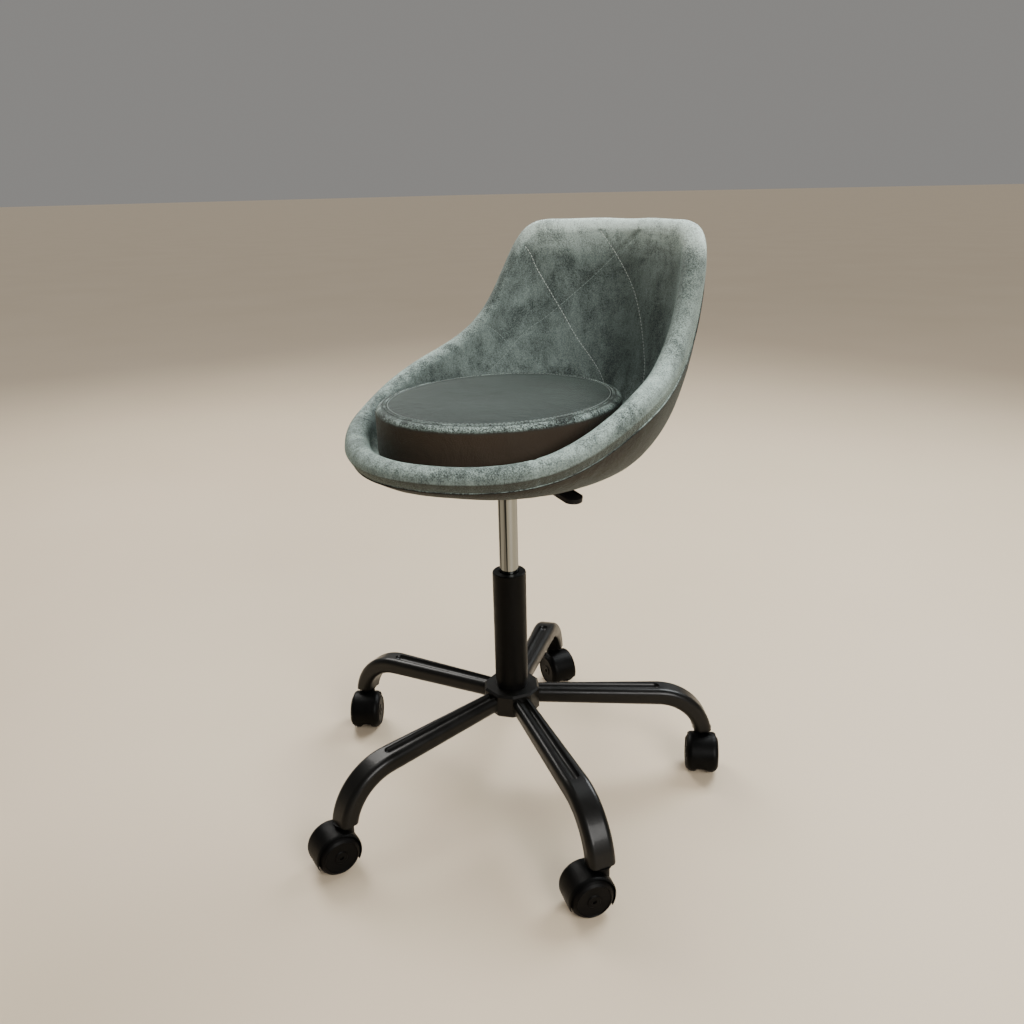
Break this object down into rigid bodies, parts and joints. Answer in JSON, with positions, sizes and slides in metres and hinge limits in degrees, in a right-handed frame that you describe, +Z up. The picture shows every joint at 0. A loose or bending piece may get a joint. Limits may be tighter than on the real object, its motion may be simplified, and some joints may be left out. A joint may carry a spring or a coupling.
{
  "type": "adjustable swivel stool",
  "caption": "Height-adjustable swivel stool with an upholstered bucket seat, a loose oval cushion, a gas lift and a five-arm caster base.",
  "frame": {"origin": "on the floor, on the axis of the column", "axes": "+Z up; the seat's open front faces -Y, so +X is the sitter's left"},
  "size_m": [0.623, 0.651, 0.8421],
  "materials": {
    "black_steel": "semi-gloss black powder coat",
    "chrome": "polished chrome plate",
    "bright_steel": "zinc-plated and ground steel",
    "black_nylon": "moulded black nylon with fine grain",
    "caster_tread": "moulded black nylon wheel",
    "rubber": "matt black rubber",
    "plywood": "moulded bare plywood",
    "velvet": "slate grey-green velvet with a pale mint sheen",
    "velvet_outer": "slate grey-green velvet, back cover"
  },
  "bodies": {
    "base": {"hub": "black_steel", "arm_1": "black_steel", "arm_2": "black_steel", "arm_3": "black_steel", "arm_4": "black_steel", "arm_5": "black_steel", "arm_foot_sockets": "black_nylon", "support_tube": "black_steel", "guide_bushing": "black_nylon", "lower_race": "bright_steel", "ball_ring": "bright_steel", "caster_stem_1": "bright_steel", "caster_stem_2": "bright_steel", "caster_stem_3": "bright_steel", "caster_stem_4": "bright_steel", "caster_stem_5": "bright_steel"},
    "piston_rod": {"piston_rod": "bright_steel", "rod_washer": "bright_steel", "rubber_bumper": "rubber", "piston": "bright_steel", "retaining_clip": "bright_steel", "upper_race": "bright_steel"},
    "seat": {"gas_cylinder": "chrome", "rod_seal": "rubber", "seat_plate": "black_steel", "taper_socket": "black_steel", "lever_bracket": "black_steel", "lever_pivot_pin": "bright_steel", "plate_screws": "bright_steel", "tee_nuts": "bright_steel", "outer_cover": "velvet_outer", "shell_board": "plywood", "inner_pad": "velvet", "rim_roll": "velvet", "seat_cushion": "velvet"},
    "lever": {"lever_rod": "black_steel", "lever_paddle": "black_nylon"},
    "release_pin": {"release_pin": "bright_steel"},
    "caster_1": {"caster_hood_1": "black_nylon", "caster_axle_1": "bright_steel"},
    "left_wheel_1": {"wheel_left_1": "caster_tread"},
    "right_wheel_1": {"wheel_right_1": "caster_tread"},
    "caster_2": {"caster_hood_2": "black_nylon", "caster_axle_2": "bright_steel"},
    "left_wheel_2": {"wheel_left_2": "caster_tread"},
    "right_wheel_2": {"wheel_right_2": "caster_tread"},
    "caster_3": {"caster_hood_3": "black_nylon", "caster_axle_3": "bright_steel"},
    "left_wheel_3": {"wheel_left_3": "caster_tread"},
    "right_wheel_3": {"wheel_right_3": "caster_tread"},
    "caster_4": {"caster_hood_4": "black_nylon", "caster_axle_4": "bright_steel"},
    "left_wheel_4": {"wheel_left_4": "caster_tread"},
    "right_wheel_4": {"wheel_right_4": "caster_tread"},
    "caster_5": {"caster_hood_5": "black_nylon", "caster_axle_5": "bright_steel"},
    "left_wheel_5": {"wheel_left_5": "caster_tread"},
    "right_wheel_5": {"wheel_right_5": "caster_tread"}
  },
  "joints": [
    {"name": "seat_swivel", "type": "hinge", "parent": "base", "child": "piston_rod", "pos_m": [0, 0, 0.136], "axis": [0, 0, 1], "continuous": true},
    {"name": "seat_height", "type": "slide", "parent": "piston_rod", "child": "seat", "axis": [0, 0, 1], "range_m": [-0.1, 0.02]},
    {"name": "lever_lift", "type": "hinge", "parent": "seat", "child": "lever", "pos_m": [0.038, 0, 0.5143], "axis": [0, -1, 0], "range_deg": [0, 4.5], "stiffness_Nm_per_rad": 4, "springref_deg": -2.86},
    {"name": "release_pin_press", "type": "slide", "parent": "seat", "child": "release_pin", "axis": [0, 0, -1], "range_m": [0, 0.0032], "stiffness_N_per_m": 400, "springref_m": -0.002},
    {"name": "caster_swivel_1", "type": "hinge", "parent": "base", "child": "caster_1", "pos_m": [0.27327, -0.13387, 0.055], "axis": [0, 0, 1], "continuous": true},
    {"name": "left_wheel_spin_1", "type": "hinge", "parent": "caster_1", "child": "left_wheel_1", "pos_m": [0.26427, -0.14946, 0.03], "axis": [0.866, -0.5, 0], "continuous": true},
    {"name": "right_wheel_spin_1", "type": "hinge", "parent": "caster_1", "child": "right_wheel_1", "pos_m": [0.26427, -0.14946, 0.03], "axis": [0.866, -0.5, 0], "continuous": true},
    {"name": "caster_swivel_2", "type": "hinge", "parent": "base", "child": "caster_2", "pos_m": [0.21177, 0.21853, 0.055], "axis": [0, 0, 1], "continuous": true},
    {"name": "left_wheel_spin_2", "type": "hinge", "parent": "caster_2", "child": "left_wheel_2", "pos_m": [0.22209, 0.20378, 0.03], "axis": [0.8192, 0.5736, 0], "continuous": true},
    {"name": "right_wheel_spin_2", "type": "hinge", "parent": "caster_2", "child": "right_wheel_2", "pos_m": [0.22209, 0.20378, 0.03], "axis": [0.8192, 0.5736, 0], "continuous": true},
    {"name": "caster_swivel_3", "type": "hinge", "parent": "base", "child": "caster_3", "pos_m": [-0.14239, 0.26893, 0.055], "axis": [0, 0, 1], "continuous": true},
    {"name": "left_wheel_spin_3", "type": "hinge", "parent": "caster_3", "child": "left_wheel_3", "pos_m": [-0.12548, 0.26277, 0.03], "axis": [0.342, 0.9397, 0], "continuous": true},
    {"name": "right_wheel_spin_3", "type": "hinge", "parent": "caster_3", "child": "right_wheel_3", "pos_m": [-0.12548, 0.26277, 0.03], "axis": [0.342, 0.9397, 0], "continuous": true},
    {"name": "caster_swivel_4", "type": "hinge", "parent": "base", "child": "caster_4", "pos_m": [-0.29977, -0.05232, 0.055], "axis": [0, 0, 1], "continuous": true},
    {"name": "left_wheel_spin_4", "type": "hinge", "parent": "caster_4", "child": "left_wheel_4", "pos_m": [-0.2882, -0.06611, 0.03], "axis": [0.766, 0.6428, 0], "continuous": true},
    {"name": "right_wheel_spin_4", "type": "hinge", "parent": "caster_4", "child": "right_wheel_4", "pos_m": [-0.2882, -0.06611, 0.03], "axis": [0.766, 0.6428, 0], "continuous": true},
    {"name": "caster_swivel_5", "type": "hinge", "parent": "base", "child": "caster_5", "pos_m": [-0.04288, -0.30126, 0.055], "axis": [0, 0, 1], "continuous": true},
    {"name": "left_wheel_spin_5", "type": "hinge", "parent": "caster_5", "child": "left_wheel_5", "pos_m": [-0.04754, -0.31865, 0.03], "axis": [0.9659, -0.2588, 0], "continuous": true},
    {"name": "right_wheel_spin_5", "type": "hinge", "parent": "caster_5", "child": "right_wheel_5", "pos_m": [-0.04754, -0.31865, 0.03], "axis": [0.9659, -0.2588, 0], "continuous": true}
  ],
  "couplings": [
    {"joint": "release_pin_press", "follows": "lever_lift", "m_per_rad": 0.038}
  ]
}
